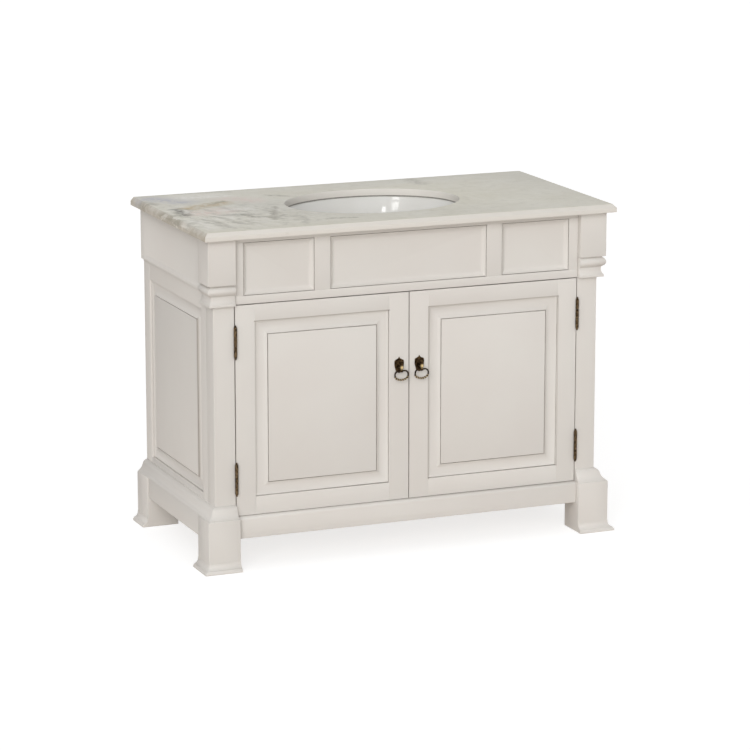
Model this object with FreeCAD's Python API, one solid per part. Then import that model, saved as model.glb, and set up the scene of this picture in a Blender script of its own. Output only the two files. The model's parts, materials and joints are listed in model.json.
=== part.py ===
import FreeCAD, Part
import math
import os

# A bathroom vanity unit: a painted wooden cabinet on four block feet, with two inset doors,
# a false drawer frieze, a marble top and an oval basin hung under it.
# Millimetres, +Z up, +Y to the wall, origin on the floor under the middle of the unit.

# Overall sizes
counter_width = 1180.0
depth = 610.0
height = 914.0
carcase_width = 1108.0
face_setback = 46.0

# Levels above the floor
base_top = 141.0
door_opening_top = 712.0
capital_bottom = 711.0
block_bottom = 768.0
side_frieze_bottom = 742.0

# Marble top
counter_thickness = 22.0
counter_lip = 12.0
counter_bevel = 9.0

# Oval basin
basin_length = 490.0
basin_width = 376.0
basin_reveal = 2.0
basin_flange = 25.0
basin_flange_thickness = 10.0
basin_depth = 146.0
basin_wall = 9.0
drain_radius = 22.5
drain_fall = 3.0
clip_width = 22.0
clip_thickness = 3.0
clip_reach = 18.0
clip_grip = 10.0

# Posts and boards
post_width = 58.0
front_post_depth = 58.0
side_stile_width = 34.0
rear_post_width = 48.0
rear_post_depth = 48.0
board = 20.0

# Front frieze with its three false drawer fronts
frieze_bottom_rail = 22.0
frieze_top_rail = 17.0
frieze_end_stile = 27.0
mullion = 45.0
centre_front_width = 450.0
front_gap = 1.3
front_rim = 1.2
front_border = 15.0
front_setback = 1.0
front_sink = 8.5
front_flange = 10.0
front_flange_thickness = 8.0

# Corner blocks and the capital mouldings under them
block_projection = 19.0
block_side_depth = 80.0
neck_projection = 10.5
neck_height = 3.0
bead_projection = 19.5
bead_crown = 17.5
bead_under_swell = 1.2
waist_projection = 9.5
waist_drop = 29.0
flare_projection = 15.0
flare_drop = 51.0

# Side frieze boards with their small cove
side_frieze_thickness = 8.0
side_frieze_recess = 5.0
side_frieze_rear_border = 14.0
side_frieze_low_border = 6.0
side_frieze_rear_bevel = 12.0
side_frieze_low_bevel = 8.0
side_cove_height = 8.0
side_cove_projection = 3.0
side_cove_edge = 2.0

# Openings for the side panels
side_rail_top = 690.0
side_rail_bottom = 189.0

# Feet, skirts and base
foot_width = 89.0
foot_depth = 88.0
foot_projection = 29.0
foot_front_setback = 15.0
skirt_height = 27.0
skirt_projection = 15.0
skirt_edge = 0.8
foot_round = 3.0
base_rail_bottom = 83.0
front_rail_setback = 16.0
side_rail_setback = 3.0
base_rail_round = 9.0
base_moulding_height = 32.0
base_moulding_projection = 26.0
base_moulding_edge = 1.0
floor_thickness = 16.0

# Back rails with the holes for wall screws
back_rail_setback = 4.0
back_rail_thickness = 16.0
back_top_rail_height = 100.0
back_low_rail_height = 60.0
back_board_thickness = 8.0
back_board_lap = 20.0
pipe_opening = 380.0
wall_hole_spacing = 812.8
wall_hole_radius = 3.5

# Corner braces under the top
brace_leg = 70.0
brace_thickness = 20.0

# Doors
door_thickness = 20.0
door_gap = 2.5
door_foot_gap = 1.0
hinge_gap = 3.0
centre_gap = 3.0
hinge_stile = 54.0
meeting_stile = 55.5
door_top_rail = 45.5
door_bottom_rail = 48.5

# Raised panels of the doors and the sides, in grooves of their frames
groove_depth = 9.0
groove_near = 10.0
groove_width = 7.0
tongue_depth = 8.0
tongue_clearance = 0.2
panel_gap = 1.0
field_setback = 1.0
field_margin = 36.5
quirk_width = 2.0
quirk_depth = 5.0
cove_inner_depth = 0.8
cove_outer_depth = 5.0
cove_lip = 1.5
cove_depth = 8.5

# Butt hinges
hinge_heights = (243.0, 612.0)
hinge_height = 76.0
hinge_barrel_radius = 4.5
hinge_axis_proud = 5.0
hinge_pin_radius = 1.75
hinge_clearance = 0.05
leaf_thickness = 1.3
leaf_depth = 19.0
leaf_start = 0.6
knuckle_gap = 1.0
finial_height = 8.5
finial_radius = 4.2
finial_tip = 0.7

# Ring pulls
pull_height = 513.0
plate_width = 27.0
plate_height = 44.0
plate_thickness = 2.0
boss_drop = 4.0
boss_radius = 5.5
boss_stem_radius = 3.5
eye_drop = 13.0
eye_proud = 18.0
eye_radius = 4.8
ring_wire_radius = 2.1
ring_clearance = 0.08
ring_bar = 18.0
ring_shoulder = 10.0
ring_leg = 2.0
ring_corner = 11.0
ring_corner_sweep = 60.0
ring_rope_radius = 3.2
ring_rope_start = 8.0

# Door catches and strikes
catch_offset = 45.0
catch_width = 36.0
catch_depth = 15.0
catch_drop = 20.0
catch_rise = 9.0
catch_gap = 1.0
strike_thickness = 0.8
strike_height = 16.0

# Planes worked out from the sizes above
front = -depth / 2
back = depth / 2
face = front + face_setback
side = carcase_width / 2
counter_bottom = height - counter_thickness
opening = side - post_width
front_post_rear = face + front_post_depth
block_rear = face + block_side_depth - block_projection
side_opening_front = front_post_rear + side_stile_width
rear_post_front = back - rear_post_depth
foot_side = side + foot_projection
foot_inner = foot_side - foot_width
foot_front = front + foot_front_setback
door_bottom = base_top + door_foot_gap
door_top = door_opening_top - door_gap
door_outer = opening - hinge_gap
door_inner = centre_gap / 2
panel_outer = door_outer - hinge_stile
panel_inner = door_inner + meeting_stile
panel_bottom = door_bottom + door_bottom_rail
panel_top = door_top - door_top_rail
hinge_x = opening - hinge_gap / 2
hinge_y = face - hinge_axis_proud
pull_x = door_inner + meeting_stile / 2
eye_y = face - eye_proud
eye_z = pull_height - eye_drop
quarter_bend = 1 - math.sqrt(0.5)
far = 2000.0


def point(x, y, z):
    return FreeCAD.Vector(x, y, z)


def block(x0, x1, y0, y1, z0, z1):
    return Part.makeBox(x1 - x0, y1 - y0, z1 - z0, point(x0, y0, z0))


def mirrored(shape):
    """The left-hand copy of a right-hand piece."""
    return shape.mirror(point(0, 0, 0), point(1, 0, 0))


def group(shapes):
    return Part.makeCompound(shapes)


def mapped(path, change):
    """Moves every point of a path; an arc is held as a pair of points, through and end."""
    moved = []
    for step in path:
        if isinstance(step[0], tuple):
            moved.append((change(*step[0]), change(*step[1])))
        else:
            moved.append(change(*step))
    return moved


def outline(path, place):
    """A flat face inside a closed path of lines and arcs."""
    start = path[0]
    here = start
    edges = []
    for step in path[1:] + [start]:
        if isinstance(step[0], tuple):
            through, end = step
            edges.append(Part.Arc(place(*here), place(*through), place(*end)).toShape())
        else:
            end = step
            edges.append(Part.LineSegment(place(*here), place(*end)).toShape())
        here = end
    return Part.Face(Part.Wire(edges))


def prism_x(path, x0, x1):
    """A (y, z) path pushed along X."""
    return outline(path, lambda y, z: point(x0, y, z)).extrude(point(x1 - x0, 0, 0))


def prism_y(path, y0, y1):
    """An (x, z) path pushed along Y."""
    return outline(path, lambda x, z: point(x, y0, z)).extrude(point(0, y1 - y0, 0))


def prism_z(path, z0, z1):
    """An (x, y) path pushed along Z."""
    return outline(path, lambda x, y: point(x, y, z0)).extrude(point(0, 0, z1 - z0))


def rectangle(u0, u1, v0, v1, place):
    corners = ((u0, v0), (u1, v0), (u1, v1), (u0, v1), (u0, v0))
    return Part.makePolygon([place(u, v) for u, v in corners])


def wrapped(profile, inner, side_plane, front_plane, rear):
    """An upright L on the right, with a profile round the front and the outer side of a block.

    The profile's points are (projection, height), from the top down. The block itself, from
    its inner edge to the side plane and from the front plane to the rear, is left out.
    """
    top = profile[0][1]
    bottom = profile[-1][1]
    front_path = [(rear, top)] + mapped(profile, lambda p, z: (front_plane - p, z)) + [(rear, bottom)]
    side_path = [(inner, top)] + mapped(profile, lambda p, z: (side_plane + p, z)) + [(inner, bottom)]
    solid = prism_x(front_path, inner, side_plane + far)
    solid = solid.common(prism_y(side_path, front_plane - far, rear))
    return solid.cut(block(inner - far, side_plane, front_plane, rear + far, bottom - 1, top + 1))


def mitres(x0, x1, z0, z1, width):
    """The four trapezoids of a border with mitred corners: low, right, high and left."""
    a0, a1 = x0 + width, x1 - width
    b0, b1 = z0 + width, z1 - width
    return ([(x0, z0), (x1, z0), (a1, b0), (a0, b0)], [(x1, z0), (x1, z1), (a1, b1), (a1, b0)],
            [(x1, z1), (x0, z1), (a0, b1), (a1, b1)], [(x0, z1), (x0, z0), (a0, b0), (a0, b1)])


def raised_panel(x0, x1, z0, z1, plane):
    """Panel that faces -Y: a raised field, a quirk and a hollow cove, on a tongue for the groove.

    The sizes are those of the frame's opening, and the plane is that of the frame's face.
    """
    near = plane + field_setback
    plate_near = plane + groove_near + tongue_clearance
    plate_far = plane + groove_near + groove_width - tongue_clearance
    tongue = block(x0 - tongue_depth, x1 + tongue_depth, plate_near, plate_far,
                   z0 - tongue_depth, z1 + tongue_depth)
    a0, a1 = x0 + panel_gap, x1 - panel_gap
    b0, b1 = z0 + panel_gap, z1 - panel_gap
    raised = block(a0, a1, near, plate_near, b0, b1)
    quirk = field_margin - quirk_width
    cove = [(-1.0, -1.0), (field_margin, -1.0), (field_margin, quirk_depth), (quirk, quirk_depth),
            (quirk, cove_inner_depth), ((0.5 * quirk, cove_depth), (cove_lip, cove_outer_depth)),
            (-1.0, cove_outer_depth)]
    across = (a0 - 1, a1 + 1)
    upright = (b0 - 1, b1 + 1)
    hollows = (prism_x(mapped(cove, lambda u, d: (near + d, b0 + u)), *across),
               prism_z(mapped(cove, lambda u, d: (a1 - u, near + d)), *upright),
               prism_x(mapped(cove, lambda u, d: (near + d, b1 - u)), *across),
               prism_z(mapped(cove, lambda u, d: (a0 + u, near + d)), *upright))
    strips = []
    for hollow, mitre in zip(hollows, mitres(*across, *upright, field_margin + 1)):
        strips.append(hollow.common(prism_y(mitre, near - 1, plate_near)))
    raised = raised.cut(strips[0].fuse(strips[1:]))
    return tongue.fuse(raised).removeSplitter()


def oval(length, width, z0, z1):
    """An upright oval block centred on the basin."""
    ellipse = Part.Ellipse(point(0, 0, z0), length / 2, width / 2)
    return Part.Face(Part.Wire([ellipse.toShape()])).extrude(point(0, 0, z1 - z0))


def countertop():
    """Slab with a bevel over a plain lip at the front and sides, and the oval cut-out."""
    half = counter_width / 2
    lip = counter_bottom + counter_lip
    along = [(front, counter_bottom), (front, lip), (front + counter_bevel, height),
             (back, height), (back, counter_bottom)]
    across = [(-half, counter_bottom), (-half, lip), (counter_bevel - half, height),
              (half - counter_bevel, height), (half, lip), (half, counter_bottom)]
    slab = prism_x(along, -half, half).common(prism_y(across, front, back))
    return slab.cut(oval(basin_length, basin_width, counter_bottom - 1, height + 1))


def sink_bowl():
    """Oval bowl with a flat flange, turned as a round bowl and then squeezed to the oval."""
    rim = basin_length / 2 + basin_reveal
    outer = rim + basin_flange
    top = counter_bottom
    under = top - basin_flange_thickness
    inside_low = top - basin_depth
    outside_low = inside_low - basin_wall
    drain_seat = 2.67 * drain_radius
    profile = [
        (0, outside_low),
        (drain_seat, outside_low + drain_fall),
        ((0.742 * rim, inside_low + 0.245 * basin_depth), (rim + basin_wall, under)),
        (outer, under),
        (outer, top),
        (rim, top),
        ((0.719 * rim, inside_low + 0.293 * basin_depth), (drain_seat, inside_low + drain_fall)),
        (0, inside_low),
    ]
    turned = outline(profile, lambda r, z: point(r, 0, z)).revolve(point(0, 0, 0), point(0, 0, 1), 360)
    squeeze = FreeCAD.Matrix()
    squeeze.scale(1, basin_width / basin_length, 1)
    bowl = turned.transformGeometry(squeeze)
    hole = Part.makeCylinder(drain_radius, 4 * basin_wall, point(0, 0, outside_low - basin_wall))
    return bowl.cut(hole)


def sink_clips():
    """Four stepped clips that hold the flange up against the marble."""
    under = counter_bottom - basin_flange_thickness
    half = clip_width / 2
    outer_x = basin_length / 2 + basin_reveal + basin_flange
    clip = block(-clip_grip, clip_thickness, -half, half, under - clip_thickness, under)
    clip = clip.fuse(block(1, 1 + clip_thickness, -half, half, under - clip_thickness, counter_bottom))
    clip = clip.fuse(block(1, clip_reach, -half, half, counter_bottom - clip_thickness, counter_bottom))
    clip = clip.removeSplitter()
    clips = []
    for turn in (0, 180):
        copy = clip.copy()
        copy.translate(point(outer_x, 0, 0))
        copy.rotate(point(0, 0, 0), point(0, 0, 1), turn)
        clips.append(copy)
    outer_y = outer_x * basin_width / basin_length
    for turn in (90, 270):
        copy = clip.copy()
        copy.translate(point(outer_y, 0, 0))
        copy.rotate(point(0, 0, 0), point(0, 0, 1), turn)
        clips.append(copy)
    return group(clips)


def front_post():
    return block(opening, side, face, front_post_rear, base_top, counter_bottom)


def side_groove():
    """The space of the grooves round the side panel's opening."""
    return block(side - groove_near - groove_width, side - groove_near,
                 side_opening_front - groove_depth, rear_post_front + groove_depth,
                 side_rail_bottom - groove_depth, side_rail_top + groove_depth)


def rear_post():
    post = block(side - rear_post_width, side, rear_post_front, back, base_top, counter_bottom)
    return post.cut(side_groove())


def corner_block():
    """Plain block over the post, in the frieze."""
    profile = [(block_projection, counter_bottom), (block_projection, block_bottom)]
    return wrapped(profile, opening, side, face, block_rear)


def capital_moulding():
    """Thin neck, full bead and flare between the corner block and the post."""
    neck_end = block_bottom - neck_height
    crown = block_bottom - bead_crown
    waist = block_bottom - waist_drop
    lip = block_bottom - flare_drop
    under = 0.5 * (bead_projection + waist_projection) + bead_under_swell
    profile = [
        (neck_projection, block_bottom),
        (neck_projection, neck_end),
        ((0.9 * bead_projection, 0.6 * neck_end + 0.4 * crown), (bead_projection, crown)),
        ((under, 0.5 * (crown + waist) - bead_under_swell), (waist_projection, waist)),
        ((0.92 * waist_projection, 0.57 * waist + 0.43 * lip), (flare_projection, lip)),
        (flare_projection, capital_bottom),
    ]
    return wrapped(profile, opening, side, face, block_rear)


def base_moulding():
    """Ogee on the base, round the front post and along the side: a round that runs out in a hollow."""
    out = base_moulding_projection
    tall = base_moulding_height
    profile = [
        (0.01, base_top + tall),
        ((0.31 * out, base_top + 0.875 * tall), (0.5 * out, base_top + 0.59 * tall)),
        ((0.69 * out, base_top + 0.265 * tall), (out, base_top + base_moulding_edge)),
        (out, base_top),
    ]
    return wrapped(profile, opening, side, face, back)


def frieze_rails():
    """Top and bottom rails of the front frieze, by node name."""
    low = block(-opening, opening, face, face + board,
                door_opening_top, door_opening_top + frieze_bottom_rail)
    high = block(-opening, opening, face, face + board,
                 counter_bottom - frieze_top_rail, counter_bottom)
    return {"frieze_bottom_rail": low, "frieze_top_rail": high}


def frieze_openings():
    """Left and right edges of the three openings in the frieze."""
    middle = centre_front_width / 2
    inner = middle + mullion
    outer = opening - frieze_end_stile
    return {"left": (-outer, -inner), "centre": (-middle, middle), "right": (inner, outer)}


def frieze_uprights():
    """Two mullions and two end stiles between the rails of the frieze."""
    low = door_opening_top + frieze_bottom_rail
    high = counter_bottom - frieze_top_rail
    spans = frieze_openings()
    edges = [(-opening, spans["left"][0]), (spans["left"][1], spans["centre"][0]),
             (spans["centre"][1], spans["right"][0]), (spans["right"][1], opening)]
    return group([block(x0, x1, face, face + board, low, high) for x0, x1 in edges])


def false_front(x0, x1):
    """False drawer front: a sunk flat inside a hollow border, held by a flange behind the frame."""
    z0 = door_opening_top + frieze_bottom_rail
    z1 = counter_bottom - frieze_top_rail
    behind = face + board
    near = face + front_setback
    solid = block(x0 + front_gap, x1 - front_gap, near, behind, z0 + front_gap, z1 - front_gap)
    flange = block(x0 - front_flange, x1 + front_flange, behind, behind + front_flange_thickness,
                   z0 - front_flange, z1 + front_flange)
    solid = solid.fuse(flange).removeSplitter()
    edge = front_gap + front_rim
    tall = prism_x(front_hollow(near, z0 + edge, z1 - edge), x0, x1)
    turned = mapped(front_hollow(near, x0 + edge, x1 - edge), lambda y, x: (x, y))
    return solid.cut(tall.common(prism_z(turned, z0, z1)))


def front_hollow(near, low, high):
    """Section of the hollow in a false front, as (depth, place) from one rim to the other."""
    deep = near + front_sink
    bend = near + 0.7 * front_sink
    return [(near - 1, low), (near, low), ((bend, low + 0.34 * front_border), (deep, low + front_border)),
            (deep, high - front_border), ((bend, high - 0.34 * front_border), (near, high)),
            (near - 1, high)]


def side_frieze():
    """Applied board of the side frieze, with a sunk flat that is bevelled at the rear and below."""
    outer = side + side_frieze_thickness
    sunk = outer - side_frieze_recess
    solid = block(side, outer, block_rear, back, side_frieze_bottom, counter_bottom)
    rim_rear = back - side_frieze_rear_border
    rim_low = side_frieze_bottom + side_frieze_low_border
    rim = rectangle(block_rear, rim_rear, rim_low, counter_bottom, lambda y, z: point(outer, y, z))
    bed_rear = rim_rear - side_frieze_rear_bevel
    bed_low = rim_low + side_frieze_low_bevel
    bed = rectangle(block_rear, bed_rear, bed_low, counter_bottom, lambda y, z: point(sunk, y, z))
    return solid.cut(Part.makeLoft([rim, bed], True, True))


def side_frieze_cove():
    """Small hollow moulding under the side frieze."""
    low = side_frieze_bottom - side_cove_height
    out = side_cove_projection
    edge = side_frieze_bottom - side_cove_edge
    path = [(side, side_frieze_bottom), (side + out, side_frieze_bottom), (side + out, edge),
            ((side + 0.3 * out, 0.5 * edge + 0.5 * low), (side + 0.2 * out, low)), (side, low)]
    return prism_y(path, block_rear, back)


def side_frame():
    """Front stile, top rail and bottom rail round the side panel; the rear post is its fourth side."""
    inner = side - board
    stile = block(inner, side, front_post_rear, side_opening_front, base_top, counter_bottom)
    low = block(inner, side, side_opening_front, rear_post_front, base_top, side_rail_bottom)
    high = block(inner, side, side_opening_front, rear_post_front, side_rail_top, counter_bottom)
    groove = side_groove()
    return group([piece.cut(groove) for piece in (stile, low, high)])


def side_panel():
    """Raised panel of the right side: built facing the front, then turned to face +X."""
    panel = raised_panel(side_opening_front, rear_post_front, side_rail_bottom, side_rail_top, -side)
    panel.rotate(point(0, 0, 0), point(0, 0, 1), 90)
    return panel


def feet():
    """The four block feet, by node name, with soft top edges at the outer side and the front."""
    bend = quarter_bend * foot_round
    side_path = [(foot_inner, 0), (foot_side, 0), (foot_side, base_top - foot_round),
                 ((foot_side - bend, base_top - bend), (foot_side - foot_round, base_top)),
                 (foot_inner, base_top)]
    front_rear = foot_front + foot_depth
    front_path = [(front_rear, 0), (foot_front, 0), (foot_front, base_top - foot_round),
                  ((foot_front + bend, base_top - bend), (foot_front + foot_round, base_top)),
                  (front_rear, base_top)]
    rear = prism_y(side_path, back - foot_depth, back)
    fore = prism_y(side_path, foot_front, front_rear).common(prism_x(front_path, foot_inner, foot_side))
    return {"right_front_foot": fore, "left_front_foot": mirrored(fore),
            "right_rear_foot": rear, "left_rear_foot": mirrored(rear)}


def foot_skirts():
    """Flared skirts: round the front and outer side of the front feet, and beside the rear feet."""
    profile = [
        (skirt_edge, skirt_height),
        ((0.24 * skirt_projection, 0.56 * skirt_height), (0.68 * skirt_projection, 0.36 * skirt_height)),
        (0.76 * skirt_projection, 0.36 * skirt_height),
        (skirt_projection, 0.14 * skirt_height),
        (skirt_projection, 0.0),
    ]
    fore = wrapped(profile, foot_inner, foot_side, foot_front, foot_front + foot_depth)
    path = [(foot_side, skirt_height)] + mapped(profile, lambda p, z: (foot_side + p, z)) + [(foot_side, 0.0)]
    rear = prism_y(path, back - foot_depth, back)
    return group([fore, rear, mirrored(fore), mirrored(rear)])


def base_rails():
    """Rails between the feet, by node name."""
    fore_y = foot_front + front_rail_setback
    outer = foot_side - side_rail_setback
    bend = quarter_bend * base_rail_round
    section = [(fore_y, base_rail_bottom), (fore_y, base_top - base_rail_round),
               ((fore_y + bend, base_top - bend), (fore_y + base_rail_round, base_top)),
               (fore_y + board, base_top), (fore_y + board, base_rail_bottom)]
    fore = prism_x(section, -foot_inner, foot_inner)
    rear_y = back - board - 2
    rear = block(-foot_inner, foot_inner, rear_y, rear_y + board, base_rail_bottom, base_top)
    right = block(outer - board, outer, foot_front + foot_depth, back - foot_depth,
                  base_rail_bottom, base_top)
    return {"base_front_rail": fore, "base_back_rail": rear,
            "right_base_rail": right, "left_base_rail": mirrored(right)}


def cabinet_floor():
    """Bottom board inside the base rails, notched round the feet."""
    z0 = base_top - floor_thickness
    y0 = foot_front + front_rail_setback + board
    y1 = back - board - 2
    outer = foot_side - side_rail_setback - board
    middle = block(-foot_inner, foot_inner, y0, y1, z0, base_top)
    wide = block(-outer, outer, foot_front + foot_depth, back - foot_depth, z0, base_top)
    return middle.fuse(wide).removeSplitter()


def back_rails():
    """Rails across the open back; the upper one has the holes for the wall screws."""
    half = side - rear_post_width
    y1 = back - back_rail_setback
    y0 = y1 - back_rail_thickness
    low = block(-half, half, y0, y1, base_top, base_top + back_low_rail_height)
    high = block(-half, half, y0, y1, counter_bottom - back_top_rail_height, counter_bottom)
    middle = counter_bottom - back_top_rail_height / 2
    for x in (-wall_hole_spacing / 2, wall_hole_spacing / 2):
        hole = Part.makeCylinder(wall_hole_radius, back_rail_thickness + 2,
                                 point(x, y0 - 1, middle), point(0, 1, 0))
        high = high.cut(hole)
    return {"back_bottom_rail": low, "back_top_rail": high}


def back_boards():
    """Two boards inside the back rails; the middle stays open for the pipes."""
    y1 = back - back_rail_setback - back_rail_thickness
    top = counter_bottom - back_top_rail_height + back_board_lap
    right = block(pipe_opening / 2, side - rear_post_width, y1 - back_board_thickness, y1, base_top, top)
    return group([right, mirrored(right)])


def corner_braces():
    """Triangular braces that hold the top corners square and carry the marble."""
    inner = side - board
    z0 = counter_bottom - brace_thickness
    fore = prism_z([(inner, front_post_rear), (inner, front_post_rear + brace_leg),
                    (inner - brace_leg, front_post_rear)], z0, counter_bottom)
    rear = prism_z([(inner, rear_post_front), (inner - brace_leg, rear_post_front),
                    (inner, rear_post_front - brace_leg)], z0, counter_bottom)
    return group([fore, rear, mirrored(fore), mirrored(rear)])


def door_frame():
    """Grooved stiles and rails of the right door, by the end of their node name."""
    y1 = face + door_thickness
    groove = block(panel_inner - groove_depth, panel_outer + groove_depth,
                   face + groove_near, face + groove_near + groove_width,
                   panel_bottom - groove_depth, panel_top + groove_depth)
    outer = block(panel_outer, door_outer, face, y1, door_bottom, door_top)
    inner = block(door_inner, panel_inner, face, y1, door_bottom, door_top)
    low = block(panel_inner, panel_outer, face, y1, door_bottom, panel_bottom)
    high = block(panel_inner, panel_outer, face, y1, panel_top, door_top)
    rails = group([low.cut(groove), high.cut(groove)])
    return {"door_hinge_stile": outer.cut(groove), "door_meeting_stile": inner.cut(groove),
            "door_rails": rails}


def door_panel():
    return raised_panel(panel_inner, panel_outer, panel_bottom, panel_top, face)


def hinge_leaf(x0, x1, knuckles, z_mid):
    """Leaf plate with tabs that run into its own knuckles, bored for the pin."""
    half = hinge_height / 2
    bore = hinge_pin_radius + hinge_clearance
    leaf = block(x0, x1, face + leaf_start, face + leaf_depth, z_mid - half, z_mid + half)
    for low, high in knuckles:
        leaf = leaf.fuse(block(x0, x1, hinge_y, face + leaf_start, z_mid + low, z_mid + high))
        barrel = Part.makeCylinder(hinge_barrel_radius, high - low, point(hinge_x, hinge_y, z_mid + low))
        leaf = leaf.fuse(barrel)
    hole = Part.makeCylinder(bore, hinge_height + 2, point(hinge_x, hinge_y, z_mid - half - 1))
    return leaf.cut(hole).removeSplitter()


def hinge_pin(z_mid):
    """Pin with a turned finial at each end of the barrel."""
    half = hinge_height / 2
    tip = half + finial_height
    profile = [
        (0.0, -tip),
        (finial_tip, -tip),
        ((0.62 * finial_radius, -half - 6.2), (0.5 * finial_radius, -half - 3.8)),
        ((0.86 * finial_radius, -half - 3.2), (finial_radius, -half - 1.4)),
        (finial_radius, -half),
        (hinge_pin_radius, -half),
        (hinge_pin_radius, half),
        (finial_radius, half),
        (finial_radius, half + 1.4),
        ((0.86 * finial_radius, half + 3.2), (0.5 * finial_radius, half + 3.8)),
        ((0.62 * finial_radius, half + 6.2), (finial_tip, tip)),
        (0.0, tip),
    ]
    pin = outline(profile, lambda r, z: point(r, 0, z)).revolve(point(0, 0, 0), point(0, 0, 1), 360)
    pin.translate(point(hinge_x, hinge_y, z_mid))
    return pin


def hinges():
    """Leaves and pins of the right door's two hinges, by kind."""
    third = hinge_height / 6
    half = hinge_height / 2
    ends = ((-half, -third - knuckle_gap / 2), (third + knuckle_gap / 2, half))
    middle = ((knuckle_gap / 2 - third, third - knuckle_gap / 2),)
    frame = [hinge_leaf(opening - leaf_thickness, opening, ends, z) for z in hinge_heights]
    door = [hinge_leaf(door_outer, door_outer + leaf_thickness, middle, z) for z in hinge_heights]
    pins = [hinge_pin(z) for z in hinge_heights]
    return {"frame": frame, "door": door, "pins": pins}


def pull_plate(centre):
    """Shield-shaped backplate with a pointed top, and a boss on a stem with the ring's eye under it."""
    half = plate_width / 2
    tall = plate_height / 2
    path = [(0.0, tall), (0.16 * half, 0.82 * tall), (0.93 * half, 0.58 * tall),
            ((half, 0.08 * tall), (0.78 * half, -0.5 * tall)),
            ((0.0, -tall), (-0.78 * half, -0.5 * tall)),
            ((-half, 0.08 * tall), (-0.93 * half, 0.58 * tall)),
            (-0.16 * half, 0.82 * tall)]
    plate = prism_y(mapped(path, lambda u, v: (centre + u, pull_height + v)), face - plate_thickness, face)
    boss_place = point(centre, eye_y, pull_height - boss_drop)
    eye_place = point(centre, eye_y, eye_z)
    stem = Part.makeCylinder(boss_stem_radius, eye_proud - plate_thickness, boss_place, point(0, 1, 0))
    neck = Part.makeCylinder(boss_stem_radius, eye_drop - boss_drop, eye_place, point(0, 0, 1))
    boss = Part.makeSphere(boss_radius, boss_place)
    eye = Part.makeSphere(eye_radius, eye_place)
    hole = Part.makeCylinder(ring_wire_radius + ring_clearance, 4 * eye_radius,
                             point(centre - 2 * eye_radius, eye_y, eye_z), point(1, 0, 0))
    return plate.fuse([stem, neck, boss, eye]).cut(hole).removeSplitter()


def bent_wire(x, z, bend, radius, start, sweep):
    """Round wire bent about a place in the XZ plane, from a start angle that counts from +X to +Z."""
    wire = Part.makeTorus(bend, radius, point(0, 0, 0), point(0, 0, 1), -180, 180, sweep)
    wire.rotate(point(0, 0, 0), point(0, 0, 1), start)
    wire.rotate(point(0, 0, 0), point(1, 0, 0), 90)
    wire.translate(point(x, 0, z))
    return wire


def pull_ring(centre):
    """Drop ring: a bar in the eye, shoulders, short legs and a flat bow that is thicker where it is roped."""
    wire = ring_wire_radius
    wide = ring_bar / 2 + ring_shoulder
    low = -ring_shoulder - ring_leg
    turn = wide - ring_corner
    slant = math.radians(ring_corner_sweep)
    bow = ring_corner + turn / math.cos(slant)
    bow_z = low + turn * math.tan(slant)
    bow_sweep = 180.0 - 2 * ring_corner_sweep
    roped_sweep = ring_corner_sweep - ring_rope_start
    pieces = [bent_wire(0, bow_z, bow, ring_rope_radius, 180.0 + ring_corner_sweep, bow_sweep)]
    for sign, shoulder_start, corner_start, rope_start in (
            (1, 0.0, -ring_corner_sweep, -ring_corner_sweep), (-1, 90.0, 180.0, 180.0 + ring_rope_start)):
        pieces.append(bent_wire(sign * ring_bar / 2, -ring_shoulder, ring_shoulder, wire, shoulder_start, 90.0))
        pieces.append(Part.makeCylinder(wire, ring_leg, point(sign * wide, 0, low), point(0, 0, 1)))
        pieces.append(bent_wire(sign * turn, low, ring_corner, wire, corner_start, ring_corner_sweep))
        pieces.append(bent_wire(sign * turn, low, ring_corner, ring_rope_radius, rope_start, roped_sweep))
    bar = Part.makeCylinder(wire, ring_bar, point(-ring_bar / 2, 0, 0), point(1, 0, 0))
    ring = bar.fuse(pieces).removeSplitter()
    ring.translate(point(centre, eye_y, eye_z))
    return ring


def catches():
    """Magnetic catch behind the frieze rail and its strike on the door's back, by kind."""
    x0, x1 = catch_offset - catch_width / 2, catch_offset + catch_width / 2
    behind = face + door_thickness
    split = door_opening_top
    low = block(x0, x1, behind + catch_gap, behind + catch_depth, split - catch_drop, split)
    high = block(x0, x1, behind, behind + catch_depth, split, split + catch_rise)
    z1 = door_top - 1
    strike = block(x0, x1, behind, behind + strike_thickness, z1 - strike_height, z1)
    return {"catch": low.fuse(high).removeSplitter(), "strike": strike}


def fixed_parts():
    """Pieces of the standing cabinet, by node name."""
    nodes = {"countertop": countertop(), "sink_bowl": sink_bowl(), "sink_clips": sink_clips(),
             "frieze_uprights": frieze_uprights(), "foot_skirts": foot_skirts(),
             "cabinet_floor": cabinet_floor(), "back_boards": back_boards(),
             "corner_braces": corner_braces()}
    nodes.update(frieze_rails())
    nodes.update(feet())
    nodes.update(base_rails())
    nodes.update(back_rails())
    for name, (x0, x1) in frieze_openings().items():
        nodes[name + "_false_front"] = false_front(x0, x1)
    handed = {"front_post": front_post, "rear_post": rear_post, "corner_block": corner_block,
              "base_moulding": base_moulding, "side_frieze": side_frieze, "side_frame": side_frame,
              "side_panel": side_panel}
    for name, make in handed.items():
        right = make()
        nodes["right_" + name] = right
        nodes["left_" + name] = mirrored(right)
    for name, make in (("side_frieze_coves", side_frieze_cove), ("capital_mouldings", capital_moulding)):
        right = make()
        nodes[name] = group([right, mirrored(right)])
    return nodes


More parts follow.
